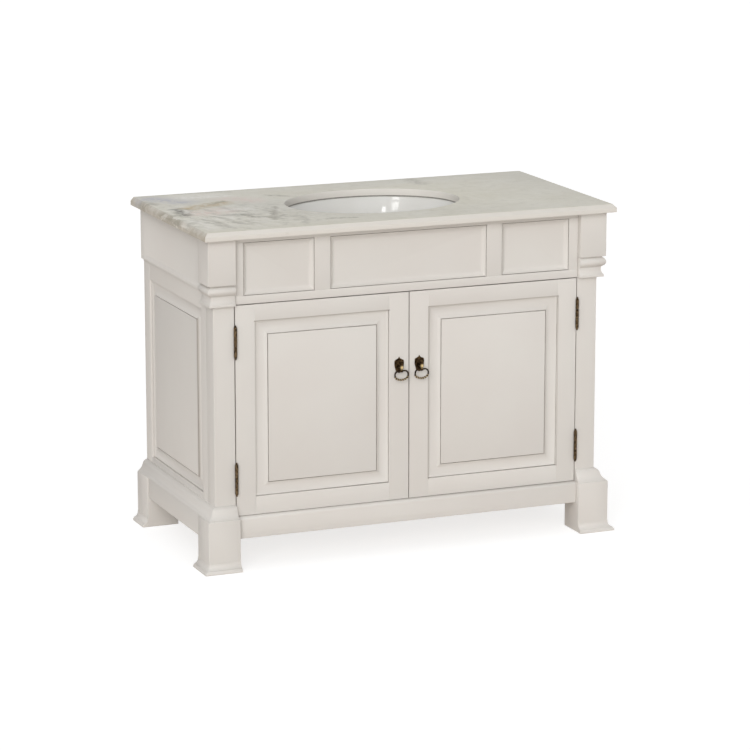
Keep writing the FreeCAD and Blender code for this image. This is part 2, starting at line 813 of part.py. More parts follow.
def door_parts():
    """Pieces of the two doors with their hinges, pulls and catches, by node name."""
    nodes = {}
    for name, centre in (("left", -pull_x), ("right", pull_x)):
        nodes[name + "_pull_plate"] = pull_plate(centre)
        nodes[name + "_pull_ring"] = pull_ring(centre)
    right = dict(door_frame(), door_panel=door_panel())
    metal = hinges()
    hold = catches()
    right["hinge_door_leaves"] = group(metal["door"])
    right["door_strike"] = hold["strike"]
    for name, shape in right.items():
        nodes["right_" + name] = shape
        nodes["left_" + name] = mirrored(shape)
    for node, shapes in (("hinge_frame_leaves", metal["frame"]), ("hinge_pins", metal["pins"]),
                         ("door_catches", [hold["catch"]])):
        nodes[node] = group(shapes + [mirrored(shape) for shape in shapes])
    return nodes


def main():
    os.makedirs("parts", exist_ok=True)
    nodes = dict(fixed_parts(), **door_parts())
    for name, shape in sorted(nodes.items()):
        shape.exportStep("parts/" + name + ".step")
        print(name, len(shape.Solids), "solids", round(shape.Volume / 1000, 1), "cm3", shape.isValid())
    print(len(nodes), "nodes")


main()
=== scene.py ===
# %% [markdown]
# # A painted vanity unit, step by step
# This lesson dresses a finished CAD model of a bathroom vanity: a cream cabinet on block feet,
# with two inset doors, ring pulls, a marble top and an oval basin under it. The CAD model gives
# every shape and every moving part. Blender adds what the eye looks for: soft edges, brushed
# paint, veined stone, glaze and old bronze.
# The first cell loads the CAD model.

# %% Load the CAD frame
import json
import math

import bmesh
import bpy
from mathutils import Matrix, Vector


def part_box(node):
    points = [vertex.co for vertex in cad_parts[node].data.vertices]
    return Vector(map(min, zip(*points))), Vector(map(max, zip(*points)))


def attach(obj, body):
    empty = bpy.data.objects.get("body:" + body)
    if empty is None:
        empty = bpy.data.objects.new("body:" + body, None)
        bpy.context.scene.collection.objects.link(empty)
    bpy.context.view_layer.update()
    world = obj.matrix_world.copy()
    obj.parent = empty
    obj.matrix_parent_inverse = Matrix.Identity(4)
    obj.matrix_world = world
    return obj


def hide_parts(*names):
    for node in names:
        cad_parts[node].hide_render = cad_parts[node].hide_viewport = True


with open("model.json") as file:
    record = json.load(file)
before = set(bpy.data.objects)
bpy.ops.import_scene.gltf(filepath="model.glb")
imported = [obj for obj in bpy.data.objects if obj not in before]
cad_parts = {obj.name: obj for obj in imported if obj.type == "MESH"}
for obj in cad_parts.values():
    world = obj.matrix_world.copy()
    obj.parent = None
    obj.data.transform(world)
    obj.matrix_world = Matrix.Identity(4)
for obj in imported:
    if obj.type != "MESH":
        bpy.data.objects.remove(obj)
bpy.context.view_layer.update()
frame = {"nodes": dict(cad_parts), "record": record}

scene = bpy.context.scene
record = frame["record"]
body_of_node = {}
for body, members in record["behaviour"]["bodies"].items():
    for member in members:
        body_of_node[member] = body
MM = 0.001

# %% [markdown]
# ## Small helpers for shader nodes
# A material is a little network. It could be wired by hand, socket by socket, but a finish has
# dozens of nodes. These helpers add a node, fill its sockets by name and do the usual sums, so
# that the recipes further down read like a list of steps.


# %% Adding nodes and doing sums
def fill(tree, socket, value):
    """Gives a socket its value: a link from another socket, or a plain number, vector or colour."""
    if isinstance(value, bpy.types.NodeSocket):
        tree.links.new(value, socket)
    else:
        socket.default_value = value


def add_node(tree, kind, **values):
    """Adds a node; each value goes to the socket of that name, or else to the setting."""
    node = tree.nodes.new(kind)
    for name, value in values.items():
        if name in node.inputs:
            fill(tree, node.inputs[name], value)
        else:
            setattr(node, name, value)
    return node


def fill_in_order(tree, node, *values):
    """Fills a node's first sockets in their order and gives back the node's outputs."""
    for socket, value in zip(node.inputs, values):
        fill(tree, socket, value)
    return node.outputs


def calc(tree, operation, first, second):
    """One sum on two values; each is a socket or a number."""
    node = add_node(tree, "ShaderNodeMath", operation=operation)
    return fill_in_order(tree, node, first, second)["Value"]


def vector_sum(tree, operation, first, second):
    """One sum on two vectors; each is a socket or three numbers."""
    node = add_node(tree, "ShaderNodeVectorMath", operation=operation)
    return fill_in_order(tree, node, first, second)


print("helpers for nodes ready")

# %% Mixing, stretching and colours
# The Mix node lists the sockets of every kind of data; these are the places of the colour ones.
MIX_MASK, MIX_UNDER, MIX_OVER, MIX_RESULT = 0, 6, 7, 2


def mix_colours(tree, mask, under, over):
    """Colour that goes from under to over where the mask is white."""
    node = add_node(tree, "ShaderNodeMix", data_type="RGBA")
    for number, value in ((MIX_MASK, mask), (MIX_UNDER, under), (MIX_OVER, over)):
        fill(tree, node.inputs[number], value)
    return node.outputs[MIX_RESULT]


def spread(tree, value, low, high, to_low=0.0, to_high=1.0):
    """Stretches the part of a value between low and high over a new span."""
    node = add_node(tree, "ShaderNodeMapRange", clamp=True, Value=value)
    limits = {"From Min": low, "From Max": high, "To Min": to_low, "To Max": to_high}
    for name, number in limits.items():
        node.inputs[name].default_value = number
    return node.outputs["Result"]


def srgb(red, green, blue):
    """A colour as a paint chart gives it, 0 to 255, turned into Blender's linear light."""
    linear = []
    for part in (red, green, blue):
        part = part / 255
        linear.append(part / 12.92 if part <= 0.04045 else ((part + 0.055) / 1.055) ** 2.4)
    return (*linear, 1.0)


print("a middle grey of 128 is", round(srgb(128, 128, 128)[0], 3), "in linear light")

# %% Places and noises
NOISE_LOW, NOISE_HIGH = 0.3, 0.7


def own_place(tree):
    """Where a point of the surface lies in the vanity's own frame, in metres."""
    return add_node(tree, "ShaderNodeTexCoord").outputs["Object"]


def noise(tree, place, scale, detail, roughness=0.5):
    """Soft random values that depend only on the place."""
    node = add_node(tree, "ShaderNodeTexNoise", Vector=place, Scale=scale, Detail=detail)
    node.inputs["Roughness"].default_value = roughness
    return node.outputs


def vary(tree, drift, low, high):
    """A value that follows a noise from low to high over the span that a noise usually keeps to."""
    return spread(tree, drift, NOISE_LOW, NOISE_HIGH, low, high)


print("a noise usually keeps between", NOISE_LOW, "and", NOISE_HIGH)

# %% [markdown]
# ## Effects that several finishes share
# Brush marks, rubbed edges (on the paint partly a painted highlight), painted shade in corners and
# strokes of another colour turn up on paint, metal, wood and stone alike. Each one could be wired
# again in every material, but as a node group it is built once and then placed with values of its
# own. A group only hands out masks and heights; the shader stays in the material.


# %% Shared effect: brush marks
def new_group(name, inputs, outputs):
    """An empty shader group with its named sockets."""
    group = bpy.data.node_groups.new(name, "ShaderNodeTree")
    for way, sockets in (("INPUT", inputs), ("OUTPUT", outputs)):
        for socket, kind in sockets:
            group.interface.new_socket(name=socket, in_out=way, socket_type=kind)
    return group, group.nodes.new("NodeGroupInput").outputs, group.nodes.new("NodeGroupOutput").inputs


NUMBER = "NodeSocketFloat"
VECTOR = "NodeSocketVector"

brush_marks, given, made = new_group(
    "brush_marks", (("Stretch", VECTOR),), (("Height", NUMBER), ("Tone", NUMBER)))
place = own_place(brush_marks)
drawn = vector_sum(brush_marks, "MULTIPLY", place, given["Stretch"])["Vector"]
hairs = noise(brush_marks, drawn, scale=1.0, detail=4.0, roughness=0.6)["Fac"]
clouds = noise(brush_marks, place, scale=5.0, detail=3.0)["Fac"]
fill(brush_marks, made["Height"], hairs)
fill(brush_marks, made["Tone"], spread(brush_marks, clouds, low=0.32, high=0.68))
print("group", brush_marks.name, "has", len(brush_marks.nodes), "nodes")

# %% Shared effect: rubbed edges, which on the paint are partly a painted highlight
# How alike the true and the rounded normal are where the lighter edge begins, and where it is full.
EDGE_BEGINS, EDGE_FULL = 0.97, 0.78

edge_wear_and_highlight, given, made = new_group(
    "edge_wear_and_highlight", (("Radius", NUMBER), ("Patchiness", NUMBER)), (("Mask", NUMBER),))
# On metal this edge mask is wear; on the paint its lighter edges are partly wear and partly a painted
# highlight.
rounded = add_node(edge_wear_and_highlight, "ShaderNodeBevel", samples=4, Radius=given["Radius"])
true_normal = add_node(edge_wear_and_highlight, "ShaderNodeNewGeometry").outputs["Normal"]
alike = vector_sum(edge_wear_and_highlight, "DOT_PRODUCT", rounded.outputs["Normal"], true_normal)["Value"]
bent = spread(edge_wear_and_highlight, alike, EDGE_BEGINS, EDGE_FULL)
patches = noise(edge_wear_and_highlight, own_place(edge_wear_and_highlight), scale=26.0, detail=4.0)["Fac"]
patched = spread(edge_wear_and_highlight, patches, low=0.38, high=0.62)
patchy = calc(edge_wear_and_highlight, "MULTIPLY", patched, given["Patchiness"])
kept = calc(edge_wear_and_highlight, "SUBTRACT", 1.0, patchy)
fill(edge_wear_and_highlight, made["Mask"], calc(edge_wear_and_highlight, "MULTIPLY", bent, kept))
print("group", edge_wear_and_highlight.name, "has", len(edge_wear_and_highlight.nodes), "nodes")

# %% Shared effect: painted shade in corners
# How open a point is where the painted shade begins, and where it is full.
SHADE_BEGINS, SHADE_FULL = 0.55, 0.15

corner_painted_shade, given, made = new_group("corner_painted_shade", (("Reach", NUMBER),), (("Mask", NUMBER),))
# The mask paints shade where ambient occlusion finds a corner, a little unevenly.
hollow = add_node(corner_painted_shade, "ShaderNodeAmbientOcclusion", samples=6, Distance=given["Reach"])
smears = noise(corner_painted_shade, own_place(corner_painted_shade), scale=40.0, detail=3.0)["Fac"]
depth = spread(corner_painted_shade, hollow.outputs["AO"], SHADE_BEGINS, SHADE_FULL)
uneven = vary(corner_painted_shade, smears, low=0.55, high=1.0)
fill(corner_painted_shade, made["Mask"], calc(corner_painted_shade, "MULTIPLY", depth, uneven))
print("group", corner_painted_shade.name, "has", len(corner_painted_shade.nodes), "nodes")

# %% Shared effect: a stroke between two points
# Where the stroke fades out and where it is full, in shares of its half width.
STROKE_EDGE, STROKE_CORE = 1.0, 0.15

stroke, given, made = new_group(
    "stroke",
    (("Place", VECTOR), ("From", VECTOR), ("Along", VECTOR), ("Width", NUMBER)),
    (("Mask", NUMBER),))
offset = vector_sum(stroke, "SUBTRACT", given["Place"], given["From"])["Vector"]
ahead = vector_sum(stroke, "DOT_PRODUCT", offset, given["Along"])["Value"]
whole = vector_sum(stroke, "DOT_PRODUCT", given["Along"], given["Along"])["Value"]
share = spread(stroke, calc(stroke, "DIVIDE", ahead, whole), low=0.0, high=1.0)
nearest = add_node(stroke, "ShaderNodeVectorMath", operation="SCALE", Scale=share)
fill(stroke, nearest.inputs[0], given["Along"])
away = vector_sum(stroke, "DISTANCE", offset, nearest.outputs["Vector"])["Value"]
widths_away = calc(stroke, "DIVIDE", away, given["Width"])
fill(stroke, made["Mask"], spread(stroke, widths_away, STROKE_EDGE, STROKE_CORE))
print("group", stroke.name, "has", len(stroke.nodes), "nodes")


# %% Starting a finish and placing a group in it
def feed(tree, shader, **values):
    """Fills the shader's sockets; an underscore in a name stands for a space."""
    for name, value in values.items():
        fill(tree, shader.inputs[name.replace("_", " ")], value)


def new_finish(name, **plain_values):
    """A material with one Principled shader whose plain values are set on its own sockets."""
    finish = bpy.data.materials.new(name)
    finish.use_nodes = True
    shader = finish.node_tree.nodes["Principled BSDF"]
    feed(finish.node_tree, shader, **plain_values)
    return finish, finish.node_tree, shader


def place_group(tree, group, **values):
    """Puts a shared effect into a material with this finish's own values."""
    return add_node(tree, "ShaderNodeGroup", node_tree=group, **values).outputs


def blend_in(tree, colour, mask, strength, other):
    """Mixes another colour in where the mask is white, up to a strength."""
    return mix_colours(tree, calc(tree, "MULTIPLY", mask, strength), colour, other)


def raise_surface(tree, shader, height, strength, distance):
    """Bump from a height value."""
    bump = add_node(tree, "ShaderNodeBump", Strength=strength, Distance=distance, Height=height)
    feed(tree, shader, Normal=bump.outputs["Normal"])


print("shared effects:", [group.name for group in (brush_marks, edge_wear_and_highlight, corner_painted_shade, stroke)])

# %% [markdown]
# ## Cream satin paint
# The cabinet is brushed with a cream-white satin paint. A plain cream colour would look like
# plastic. A real brush follows the wood, so the marks run up a post, along a rail and front to
# back on the side rails. One recipe therefore makes three paints that differ only in which way
# the brush went. The colour drifts a little, and the edges are rubbed thin and painted lighter,
# which is partly wear and partly a painted highlight. The quirks of the mouldings and the corners
# get a painted brownish shade.

# %% Cream paint in three brush directions
CREAM = srgb(216, 213, 208)
CREAM_SHADE = srgb(214, 210, 205)
# The lighter edge colour is partly a painted highlight; the brown is painted shade in corners and
# quirks.
CREAM_WORN_AND_HIGHLIT = srgb(231, 227, 221)
CORNER_SHADE_BROWN = srgb(124, 110, 97)
PAINT_EDGE_RADIUS, PAINT_EDGE_PATCHES, PAINT_EDGE_STRENGTH = 1.6 * MM, 0.6, 0.7
CORNER_SHADE_REACH, CORNER_SHADE_STRENGTH = 5 * MM, 0.8


def cream_paint(name, stretch, shade_lines=()):
    """Satin paint; stretch says which way the brush went; the last argument lists narrow lines of
    painted shade.
    """
    finish, tree, shader = new_finish(name, IOR=1.46)
    place = own_place(tree)
    strokes = place_group(tree, brush_marks, Stretch=stretch)
    colour = mix_colours(tree, strokes["Tone"], CREAM, CREAM_SHADE)
    # Lighter edges: rubbed paint together with a painted highlight.
    edge_mask = place_group(tree, edge_wear_and_highlight, Radius=PAINT_EDGE_RADIUS, Patchiness=PAINT_EDGE_PATCHES)
    colour = blend_in(tree, colour, edge_mask["Mask"], PAINT_EDGE_STRENGTH, CREAM_WORN_AND_HIGHLIT)
    # Painted brownish shade where a corner or quirk closes in.
    painted_shade = place_group(tree, corner_painted_shade, Reach=CORNER_SHADE_REACH)
    colour = blend_in(tree, colour, painted_shade["Mask"], CORNER_SHADE_STRENGTH, CORNER_SHADE_BROWN)
    # Painted shade along each given line.
    for start, end, half_width, strength in shade_lines:
        line = place_group(
            tree, stroke, Place=place, From=start, Along=end - start, Width=half_width)
        colour = blend_in(tree, colour, line["Mask"], strength, CORNER_SHADE_BROWN)
    satin = vary(tree, strokes["Height"], low=0.5, high=0.62)
    feed(tree, shader, Base_Color=colour, Roughness=satin)
    raise_surface(tree, shader, strokes["Height"], strength=0.12, distance=0.25 * MM)
    return finish


FINE, LONG = 420.0, 9.0
UPRIGHT = (FINE, FINE, LONG)
LEVEL = (LONG, FINE, FINE)
FRONT_TO_BACK = (FINE, LONG, FINE)
paint_upright = cream_paint("cream_paint_brushed_upright", UPRIGHT)
paint_level = cream_paint("cream_paint_brushed_level", LEVEL)
paint_deep = cream_paint("cream_paint_brushed_front_to_back", FRONT_TO_BACK)
print("three cream paints of", [round(part, 2) for part in CREAM[:3]])

# %% [markdown]
# ## Veined marble
# The top is a pale, greenish-grey marble, nearly plain on the right and lively at its left end: a
# blue-grey patch in the back corner, a pale cloud beside it, a golden smear that ends in a dark
# knot, and streaks that fan out from there to the front. A noise alone can't say where such marks
# lie, so each one is a stroke between two points of the slab. The stroke group measures how far
# the stone is from that line, and a twisted place makes every edge ragged.

# %% Stone colours and the marks at the left end
STONE = srgb(220, 217, 205)
STONE_WARM = srgb(212, 208, 193)
PALE = srgb(236, 233, 226)
EDGE_PALE = srgb(217, 213, 207)
# Painted shade for the left lip of the slab.
LIP_PAINTED_SHADE = srgb(178, 170, 154)
BLUISH = srgb(184, 184, 190)
ROSY = srgb(222, 205, 194)
GOLDEN = srgb(188, 168, 126)
GREY = srgb(160, 156, 144)
OLIVE = srgb(140, 133, 114)
KNOT = srgb(84, 78, 64)
SLAB_LEVEL = 910
# Each mark: colour, strength, half width, and its two ends on the slab in mm from the middle.
STONE_MARKS = (
    (BLUISH, 0.95, 66, (-545, 250), (-490, 185)),
    (PALE, 0.95, 66, (-450, 235), (-365, 225)),
    (ROSY, 0.8, 62, (-360, 170), (-300, 130)),
    (ROSY, 0.9, 64, (-500, -10), (-430, 10)),
    (PALE, 0.6, 46, (-560, -130), (-545, -240)),
    (GOLDEN, 1.0, 36, (-505, 70), (-393, 118)),
    (OLIVE, 0.8, 14, (-420, 118), (-385, 134)),
    (KNOT, 0.95, 32, (-537, 60), (-548, -18)),
    (PALE, 1.0, 11, (-522, 48), (-537, 4)),
    (OLIVE, 0.8, 24, (-600, 60), (-596, -90)),
    (OLIVE, 0.65, 22, (-590, 230), (-575, 165)),
    (GREY, 0.6, 16, (-515, -95), (-495, -235)),
    (GREY, 0.55, 15, (-478, -70), (-440, -205)),
    (GREY, 0.65, 18, (-588, -160), (-552, -130)),
    (PALE, 0.8, 20, (-432, 14), (-345, 26)),
    (GREY, 0.75, 28, (-440, -52), (-398, -66)),
    (OLIVE, 0.85, 15, (-400, -62), (-388, -104)),
    (OLIVE, 0.85, 15, (-388, -104), (-345, -135)),
    (OLIVE, 0.9, 14, (-276, 10), (-318, -86)),
    (OLIVE, 0.85, 14, (-318, -86), (-348, -165)),
    (OLIVE, 0.75, 13, (-348, -165), (-300, -110)),
    (OLIVE, 0.75, 18, (-232, 186), (-190, 160)),
    (OLIVE, 0.7, 15, (-210, -215), (-140, -225)),
    (GREY, 0.6, 16, (-262, -150), (-292, -262)),
    (GREY, 0.55, 34, (225, 300), (236, 215)),
    (GREY, 0.6, 16, (-455, 304), (-318, 296)))
print(len(STONE_MARKS), "marks in the stone")

# %% A twisted place for ragged edges
BEND, CRUMBLE = 50 * MM, 22 * MM

marble, tree, shader = new_finish("honed_veined_marble", IOR=1.49, Specular_IOR_Level=0.08)
place = own_place(tree)
bends = noise(tree, place, scale=9.0, detail=3.0)
crumbs = noise(tree, place, scale=60.0, detail=3.0, roughness=0.6)
twisted = place
for ragged, size in ((bends, BEND), (crumbs, CRUMBLE)):
    shift = vector_sum(tree, "MULTIPLY", ragged["Color"], (size, size, 0.0))["Vector"]
    twisted = vector_sum(tree, "ADD", twisted, shift)["Vector"]
usual_shift = (BEND + CRUMBLE) / 2
twisted = vector_sum(tree, "SUBTRACT", twisted, (usual_shift, usual_shift, 0.0))["Vector"]
print("the stone's place is twisted by up to", round(usual_shift / MM), "mm")

# %% Ground of the stone
# The stretch of the slab that is lively: half width and two ends in mm.
LIVELY_END = (240, (-560, -60), (-400, -90))
PLAIN, BUSY = 0.13, 0.55
# Each blotch: the noise where it begins, the noise where it is full, and its colour.
BLOTCHES = ((0.5, 0.66, PALE), (0.47, 0.34, GREY))


def stroke_mask(half_width, start, end):
    """Mask of one stroke on the slab, its width and ends given in mm."""
    first, last = (Vector((*spot, SLAB_LEVEL)) * MM for spot in (start, end))
    return place_group(
        tree, stroke, Place=twisted, From=first, Along=last - first, Width=half_width * MM)["Mask"]


drift = noise(tree, twisted, scale=6.0, detail=5.0, roughness=0.6)["Fac"]
blotches = noise(tree, twisted, scale=34.0, detail=4.0, roughness=0.65)["Fac"]
colour = mix_colours(tree, spread(tree, drift, low=0.36, high=0.66), STONE, STONE_WARM)
lively = stroke_mask(*LIVELY_END)
busy = spread(tree, lively, low=0.0, high=0.7, to_low=PLAIN, to_high=BUSY)
for begins, full, blotch in BLOTCHES:
    blotched = calc(tree, "MULTIPLY", spread(tree, blotches, begins, full), busy)
    colour = mix_colours(tree, blotched, colour, blotch)
print("ground of the stone with", len(BLOTCHES), "kinds of blotches")

# %% Edge of the slab
# How far a face looks up where the edge's own shade begins and where it is full.
TOP_FACE, EDGE_FACE, EDGE_STRENGTH = 0.96, 0.7, 0.9
# How far a face looks left where its painted shade begins and is full, and where across the slab that
# painted shade begins and is full. Mottling makes it uneven, like stains.
LEFT_FACE, LEFT_PLACE = (-0.25, -0.7), (-570 * MM, -590 * MM)

normal = add_node(tree, "ShaderNodeNewGeometry").outputs["Normal"]
facing = add_node(tree, "ShaderNodeSeparateXYZ", Vector=normal).outputs
sideways = add_node(tree, "ShaderNodeSeparateXYZ", Vector=place).outputs["X"]
edge = spread(tree, facing["Z"], TOP_FACE, EDGE_FACE, 0.0, EDGE_STRENGTH)
colour = mix_colours(tree, edge, colour, EDGE_PALE)
# Painted shade on the left lip, mottled by the blotches like stains.
left_lip_shade = calc(
    tree, "MULTIPLY", spread(tree, facing["X"], *LEFT_FACE), spread(tree, sideways, *LEFT_PLACE))
mottled = spread(tree, blotches, low=0.62, high=0.4, to_low=0.6, to_high=0.95)
colour = mix_colours(tree, calc(tree, "MULTIPLY", left_lip_shade, mottled), colour, LIP_PAINTED_SHADE)
print("the left lip is shaded from", round(LEFT_PLACE[0] / MM), "mm outward")

# %% Marks, fanned threads and polish
FAN_TURN, FAN_STRETCH = math.radians(-72), 6.0
THREAD_STRENGTH = 0.6
# Each thread: the noise where it begins, the noise where it is full, and its colour.
THREADS = ((0.55, 0.66, GREY), (0.45, 0.36, PALE))

broken = spread(tree, crumbs["Fac"], low=0.4, high=0.56, to_low=0.4)
for mark, strength, half_width, start, end in STONE_MARKS:
    mask = calc(tree, "MULTIPLY", stroke_mask(half_width, start, end), broken)
    colour = blend_in(tree, colour, mask, strength, mark)
fan = add_node(tree, "ShaderNodeMapping", vector_type="TEXTURE", Vector=twisted,
               Rotation=(0, 0, FAN_TURN), Scale=(FAN_STRETCH, 1.0, 1.0))
threads = noise(tree, fan.outputs[0], scale=55.0, detail=4.0, roughness=0.6)["Fac"]
for begins, full, thread in THREADS:
    fanned = calc(tree, "MULTIPLY", spread(tree, threads, begins, full), lively)
    colour = blend_in(tree, colour, fanned, THREAD_STRENGTH, thread)
crystals = noise(tree, place, scale=260.0, detail=2.0)["Fac"]
feed(tree, shader, Base_Color=colour, Roughness=vary(tree, crystals, low=0.3, high=0.38))
raise_surface(tree, shader, crystals, strength=0.01, distance=0.1 * MM)
print("marble has", len(tree.nodes), "nodes")

# %% [markdown]
# ## Basin glaze
# The basin is fired white ceramic: a clear coat over a body that is never quite even. A single
# white with a gloss would do from afar, but a faint drift of the white and a slow ripple in the
# glaze bend its reflections a little, as they do on the real bowl.

# %% White glaze
GLAZE = srgb(216, 215, 211)
GLAZE_POOLED = srgb(211, 209, 204)

glaze, tree, shader = new_finish("white_basin_glaze", IOR=1.5, Coat_Roughness=0.03, Coat_IOR=1.5)
place = own_place(tree)
ripple = noise(tree, place, scale=24.0, detail=2.0)["Fac"]
pooling = noise(tree, place, scale=7.0, detail=3.0)["Fac"]
colour = mix_colours(tree, spread(tree, pooling, low=0.35, high=0.65), GLAZE, GLAZE_POOLED)
feed(tree, shader, Base_Color=colour, Roughness=vary(tree, pooling, low=0.1, high=0.16))
feed(tree, shader, Coat_Weight=vary(tree, ripple, low=0.6, high=0.9))
raise_surface(tree, shader, ripple, strength=0.05, distance=0.3 * MM)
print("glaze has", len(tree.nodes), "nodes")

# %% [markdown]
# ## Old bronze, plated steel, catch plastic and bare wood
# The pulls and hinges are dark bronze that fingers have rubbed to brass along the edges. Two
# separate metals would need a drawn border between them, so the rubbed-edge group mixes in the
# lighter metal instead. The clips and strikes are zinc plated, the catches are moulded plastic,
# and the boards that nobody sees are bare wood with its long grain.


# %% Metals
def metal_finish(name, dark, lighter, rubbed, rough, rub_radius, rub_patches):
    """Metal that is mottled between two colours and rubbed bright along its edges."""
    finish, tree, shader = new_finish(name, Metallic=1.0)
    mottle = noise(tree, own_place(tree), scale=160.0, detail=5.0, roughness=0.65)["Fac"]
    colour = mix_colours(tree, spread(tree, mottle, low=0.42, high=0.6), dark, lighter)
    edge_mask = place_group(tree, edge_wear_and_highlight, Radius=rub_radius, Patchiness=rub_patches)
    colour = mix_colours(tree, edge_mask["Mask"], colour, rubbed)
    feed(tree, shader, Base_Color=colour, Roughness=vary(tree, mottle, *rough))
    raise_surface(tree, shader, mottle, strength=0.15, distance=0.12 * MM)
    return finish


OLD_BRONZE = srgb(30, 22, 15)
bronze = metal_finish(
    "old_bronze", OLD_BRONZE, lighter=srgb(82, 64, 43), rubbed=srgb(196, 170, 128),
    rough=(0.24, 0.4), rub_radius=0.7 * MM, rub_patches=0.5)
hinge_brass = metal_finish(
    "hinge_brass", srgb(36, 27, 18), lighter=srgb(122, 102, 77), rubbed=srgb(190, 166, 130),
    rough=(0.26, 0.4), rub_radius=0.8 * MM, rub_patches=0.5)
zinc = metal_finish(
    "zinc_plate", srgb(176, 178, 180), lighter=srgb(196, 198, 198), rubbed=srgb(214, 215, 215),
    rough=(0.3, 0.45), rub_radius=0.6 * MM, rub_patches=0.4)
print("metals:", bronze.name, hinge_brass.name, zinc.name)

# %% Catch plastic
MOULDED = srgb(222, 216, 204)
MOULDED_SHADE = srgb(208, 202, 190)

catch_plastic, tree, shader = new_finish("catch_plastic", IOR=1.46)
pebble = noise(tree, own_place(tree), scale=900.0, detail=2.0)["Fac"]
colour = mix_colours(tree, pebble, MOULDED, MOULDED_SHADE)
feed(tree, shader, Base_Color=colour, Roughness=vary(tree, pebble, low=0.45, high=0.6))
raise_surface(tree, shader, pebble, strength=0.2, distance=0.08 * MM)
print("catch plastic has", len(tree.nodes), "nodes")

# %% Bare wood, by the way its grain runs
WOOD = srgb(214, 196, 168)
WOOD_LATE = srgb(198, 176, 144)
WOOD_PORE = srgb(158, 132, 102)
# The next brown is painted shade for the corners of the boards.
WOOD_CORNER_SHADE = srgb(140, 116, 92)
RINGS_TO_PORES = 0.13
PORE_STRENGTH = 0.45
WOOD_SHADE_REACH, WOOD_SHADE_STRENGTH = 25 * MM, 0.4


def bare_wood(name, stretch):
    """Sanded wood with broad year rings and fine pores; stretch says which way the grain runs."""
    finish, tree, shader = new_finish(name, IOR=1.45)
    strokes = place_group(tree, brush_marks, Stretch=stretch)
    ring_stretch = [part * RINGS_TO_PORES for part in stretch]
    long_way = vector_sum(tree, "MULTIPLY", own_place(tree), ring_stretch)["Vector"]
    year_rings = noise(tree, long_way, scale=1.0, detail=3.0)["Fac"]
    late = spread(tree, year_rings, low=0.35, high=0.65)
    colour = mix_colours(tree, late, WOOD, WOOD_LATE)
    pores = spread(tree, strokes["Height"], low=0.56, high=0.7)
    colour = blend_in(tree, colour, pores, PORE_STRENGTH, WOOD_PORE)
    # Painted shade in the corners of the boards.
    painted_shade = place_group(tree, corner_painted_shade, Reach=WOOD_SHADE_REACH)
    colour = blend_in(tree, colour, painted_shade["Mask"], WOOD_SHADE_STRENGTH, WOOD_CORNER_SHADE)
    sanded = vary(tree, year_rings, low=0.55, high=0.7)
    feed(tree, shader, Base_Color=colour, Roughness=sanded)
    raise_surface(tree, shader, strokes["Height"], strength=0.25, distance=0.3 * MM)
    return finish


PORE_FINE, PORE_LONG = 360.0, 7.0
wood_level = bare_wood("bare_wood_grain_level", (PORE_LONG, PORE_FINE, PORE_FINE))
wood_upright = bare_wood("bare_wood_grain_upright", (PORE_FINE, PORE_FINE, PORE_LONG))
print("bare woods:", wood_level.name, wood_upright.name)

# %% [markdown]
# ## Easing the edges
# No edge on real joinery is a perfect corner: sandpaper takes it off and the paint rounds it
# further. The CAD meshes have sharp corners and are cut into triangles, so each piece gets a
# copy in which flat triangles are joined back into whole faces. A Bevel modifier then rounds
# every corner, and hardened normals keep the flats flat. The copy stands in for the CAD node and
# rides on the same body.


# %% Standing in for a CAD node
def put_in_scene(name, data):
    """A new object in the scene from a mesh, a lamp or a camera."""
    thing = bpy.data.objects.new(name, data)
    scene.collection.objects.link(thing)
    return thing


def adopt(piece, node, finish):
    """The piece stands for a CAD node: same body, its own finish."""
    piece.data.materials.clear()
    piece.data.materials.append(finish)
    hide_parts(node)
    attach(piece, body_of_node[node])
    return piece


# %% A copy of a node with eased edges
WELD = 0.002 * MM
FLAT = math.radians(0.4)
CORNER = math.radians(28)


def eased_copy(node, finish, ease, segments=2):
    """A copy of a CAD node with whole faces and corners that are rounded by the ease."""
    shape = bmesh.new()
    shape.from_mesh(frame["nodes"][node].data)
    bmesh.ops.remove_doubles(shape, verts=shape.verts, dist=WELD)
    bmesh.ops.dissolve_limit(shape, angle_limit=FLAT, verts=shape.verts, edges=shape.edges)
    for face in shape.faces:
        face.smooth = True
    mesh = bpy.data.meshes.new(node + "_eased")
    shape.to_mesh(mesh)
    shape.free()
    piece = put_in_scene(node + "_eased", mesh)
    bevel = piece.modifiers.new("eased_edges", "BEVEL")
    bevel.limit_method = "ANGLE"
    bevel.angle_limit = CORNER
    bevel.width = ease
    bevel.segments = segments
    bevel.harden_normals = True
    return adopt(piece, node, finish)


print("corners sharper than", round(math.degrees(CORNER)), "degrees are eased")

# %% [markdown]
# ## The cabinet's joinery
# Posts and stiles were brushed upright and rails level. Boards that meet flush get only a hair
# of easing, because the painter filled those joints. Free corners, such as the blocks and the
# feet, get a rounder edge. On the sides, a line of painted shade runs along the front edge of the
# raised field. The painted shade in corners can't tell that edge from the others by itself, so a
# stroke is laid along it.

# %% Painted shade along the front edge of the side panels
SIDES = ("left", "right")
SAME_FACE = 0.05 * MM
SIDE_SHADE_HALF, SIDE_SHADE = 9 * MM, 0.55


def proud_box(node, reach):
    """Corners of what reaches furthest in a direction, such as the raised field of a panel."""
    points = [vertex.co for vertex in frame["nodes"][node].data.vertices]
    furthest = max(point.dot(reach) for point in points)
    proud = [point for point in points if point.dot(reach) > furthest - SAME_FACE]
    return [Vector([pick(point[axis] for point in proud) for axis in range(3)])
            for pick in (min, max)]


side_shade_lines = []
